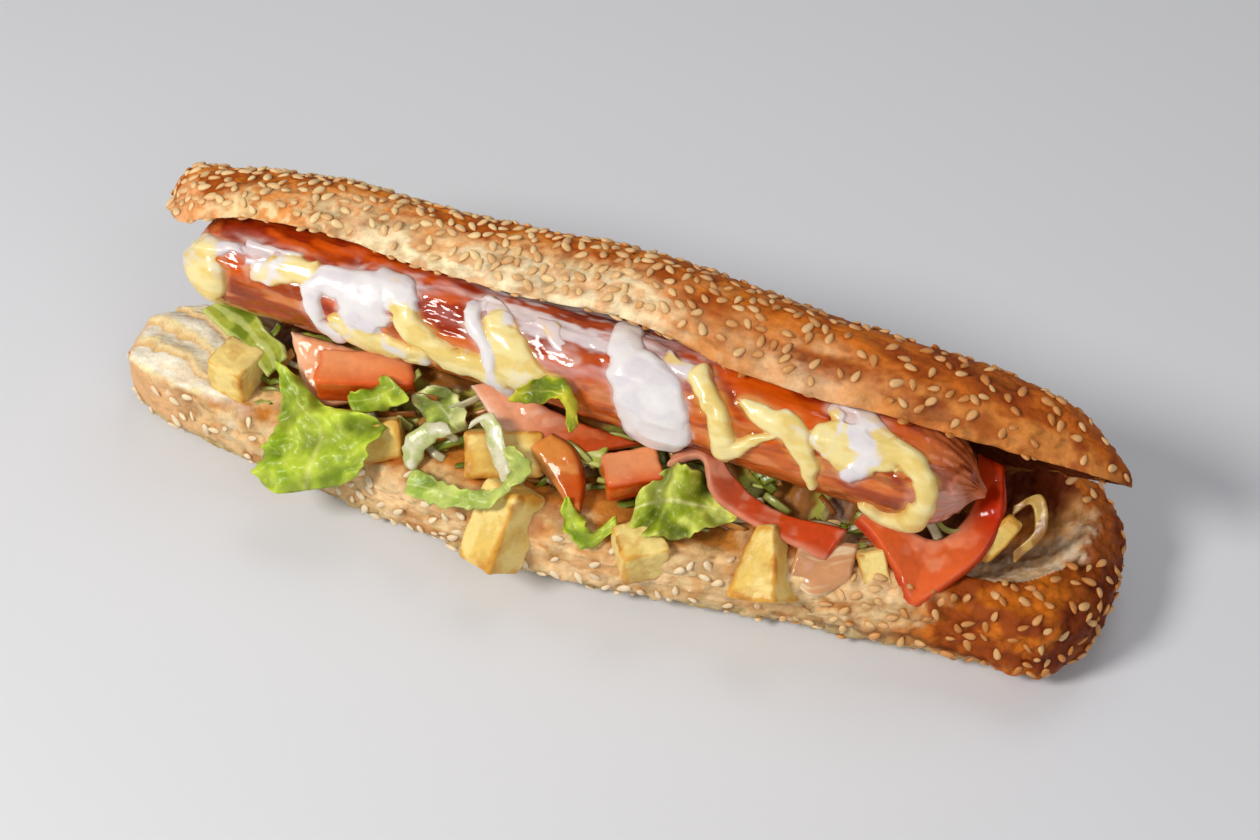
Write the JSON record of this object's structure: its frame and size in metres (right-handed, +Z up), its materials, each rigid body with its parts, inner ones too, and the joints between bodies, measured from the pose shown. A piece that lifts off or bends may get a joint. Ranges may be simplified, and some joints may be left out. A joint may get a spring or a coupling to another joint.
{
  "type": "hot dog",
  "caption": "Long sesame roll split along one side, opened, and filled with a sauced sausage, lettuce, tomato, onion and fried potato.",
  "frame": {"origin": "middle of the underside of the bounding box, on the surface that the roll rests on", "axes": "+X along the roll towards its blunt end, -Y out of the open side, +Z up"},
  "size_m": [0.2714, 0.0887, 0.0735],
  "materials": {
    "crust": "baked crust with pale crumb and sesame seeds",
    "sausage": "glossy skin under ketchup, mustard and mayonnaise",
    "tomato": "wet cut tomato",
    "lettuce": "thin translucent leaf with pale ribs",
    "cabbage": "pale translucent shreds",
    "potato": "fried, with browned edges",
    "onion": "translucent, softened",
    "salad": "moist mixed shreds stained by sauce"
  },
  "bodies": {
    "root": {"roll": "crust", "sausage": "sausage", "potato_left": "potato", "potato_behind_leaf": "potato", "potato_upper": "potato", "potato_hanging": "potato", "potato_front": "potato", "potato_wedge": "potato", "potato_sliver": "potato", "potato_right": "potato", "tomato_block": "tomato", "tomato_wedge": "tomato", "tomato_corner": "tomato", "tomato_pale_slice": "tomato", "tomato_long_slice": "tomato", "tomato_curl": "tomato", "tomato_folded_slice": "tomato", "lettuce_rib": "lettuce", "lettuce_big_leaf": "lettuce", "lettuce_curl": "lettuce", "lettuce_pale_bits": "lettuce", "cabbage_shred_left": "cabbage", "cabbage_shred_right": "cabbage", "lettuce_band": "lettuce", "lettuce_front_frill": "lettuce", "lettuce_hook": "lettuce", "lettuce_white_rib": "lettuce", "lettuce_ruffle": "lettuce", "onion_piece": "onion", "cabbage_shreds_right": "cabbage", "salad_bed": "salad"}
  },
  "joints": []
}
